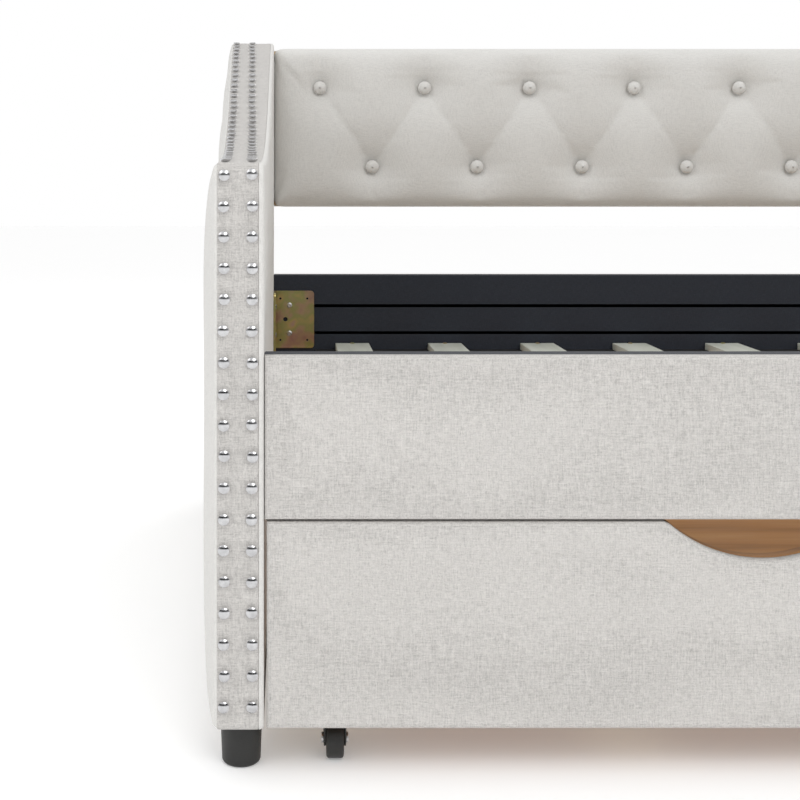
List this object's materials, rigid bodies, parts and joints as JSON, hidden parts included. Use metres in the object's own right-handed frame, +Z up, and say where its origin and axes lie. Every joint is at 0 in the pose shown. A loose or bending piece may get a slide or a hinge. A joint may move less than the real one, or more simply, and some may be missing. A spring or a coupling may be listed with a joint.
{
  "type": "trundle bed",
  "caption": "Upholstered daybed with wave-topped nailhead arms, a tufted back panel and a slatted base, with a roll-out trundle under it on casters.",
  "frame": {"origin": "on the floor, at the middle of the bed's footprint", "axes": "+X along the bed's length, +Y from the front to the back panel, +Z up"},
  "size_m": [2.0986, 1.077, 0.816],
  "materials": {
    "linen": "woven",
    "smooth_linen": "woven",
    "nail_chrome": "polished",
    "bright_steel": "brushed",
    "yellow_zinc": "satin",
    "slat_paint": "satin",
    "black_plastic": "matte",
    "black_paint": "matte",
    "dark_lining": "matte",
    "deck_wood": "satin",
    "timber": "matte"
  },
  "bodies": {
    "bed": {"left_arm_front_post": "timber", "left_arm_rear_post": "timber", "left_arm_bottom_rail": "timber", "left_arm_top_rail": "timber", "left_arm_inner_cover": "linen", "left_arm_outer_pad": "linen", "left_arm_edge_strip": "linen", "left_arm_nailheads": "nail_chrome", "right_arm_front_post": "timber", "right_arm_rear_post": "timber", "right_arm_bottom_rail": "timber", "right_arm_top_rail": "timber", "right_arm_inner_cover": "linen", "right_arm_outer_pad": "linen", "right_arm_edge_strip": "linen", "right_arm_nailheads": "nail_chrome", "leg_front_left": "black_plastic", "leg_front_right": "black_plastic", "leg_rear_left": "black_plastic", "leg_rear_right": "black_plastic", "leg_bolts": "bright_steel", "back_board": "timber", "back_pad": "smooth_linen", "back_buttons": "smooth_linen", "back_rear_cover": "linen", "back_studs": "bright_steel", "front_rail_board": "dark_lining", "front_rail_pad": "linen", "rear_rail_board": "dark_lining", "rear_rail_pad": "linen", "front_ledger": "black_paint", "rear_ledger": "black_paint", "corner_brackets": "yellow_zinc", "bracket_screws": "bright_steel", "slat_01": "slat_paint", "slat_02": "slat_paint", "slat_03": "slat_paint", "slat_04": "slat_paint", "slat_05": "slat_paint", "slat_06": "slat_paint", "slat_07": "slat_paint", "slat_08": "slat_paint", "slat_09": "slat_paint", "slat_10": "slat_paint", "slat_11": "slat_paint", "slat_screws": "yellow_zinc"},
    "trundle": {"trundle_front_board": "deck_wood", "trundle_front_pad": "linen", "trundle_back_board": "timber", "trundle_left_side": "timber", "trundle_right_side": "timber", "trundle_deck": "deck_wood", "trundle_battens": "timber", "caster_housings": "black_plastic", "caster_axles": "bright_steel", "caster_screws": "bright_steel"},
    "wheel_front_left": {"caster_wheel_front_left": "black_plastic"},
    "wheel_front_right": {"caster_wheel_front_right": "black_plastic"},
    "wheel_rear_left": {"caster_wheel_rear_left": "black_plastic"},
    "wheel_rear_right": {"caster_wheel_rear_right": "black_plastic"}
  },
  "joints": [
    {"name": "trundle_slide", "type": "slide", "parent": "bed", "child": "trundle", "axis": [0, -1, 0], "range_m": [0, 1]},
    {"name": "wheel_front_left_spin", "type": "hinge", "parent": "trundle", "child": "wheel_front_left", "pos_m": [-0.8945, -0.496, 0.019], "axis": [1, 0, 0], "continuous": true},
    {"name": "wheel_front_right_spin", "type": "hinge", "parent": "trundle", "child": "wheel_front_right", "pos_m": [0.8945, -0.496, 0.019], "axis": [1, 0, 0], "continuous": true},
    {"name": "wheel_rear_left_spin", "type": "hinge", "parent": "trundle", "child": "wheel_rear_left", "pos_m": [-0.8945, 0.473, 0.019], "axis": [1, 0, 0], "continuous": true},
    {"name": "wheel_rear_right_spin", "type": "hinge", "parent": "trundle", "child": "wheel_rear_right", "pos_m": [0.8945, 0.473, 0.019], "axis": [1, 0, 0], "continuous": true}
  ],
  "couplings": [
    {"joint": "wheel_front_left_spin", "follows": "trundle_slide", "rad_per_m": 52.632},
    {"joint": "wheel_front_right_spin", "follows": "trundle_slide", "rad_per_m": 52.632},
    {"joint": "wheel_rear_left_spin", "follows": "trundle_slide", "rad_per_m": 52.632},
    {"joint": "wheel_rear_right_spin", "follows": "trundle_slide", "rad_per_m": 52.632}
  ]
}
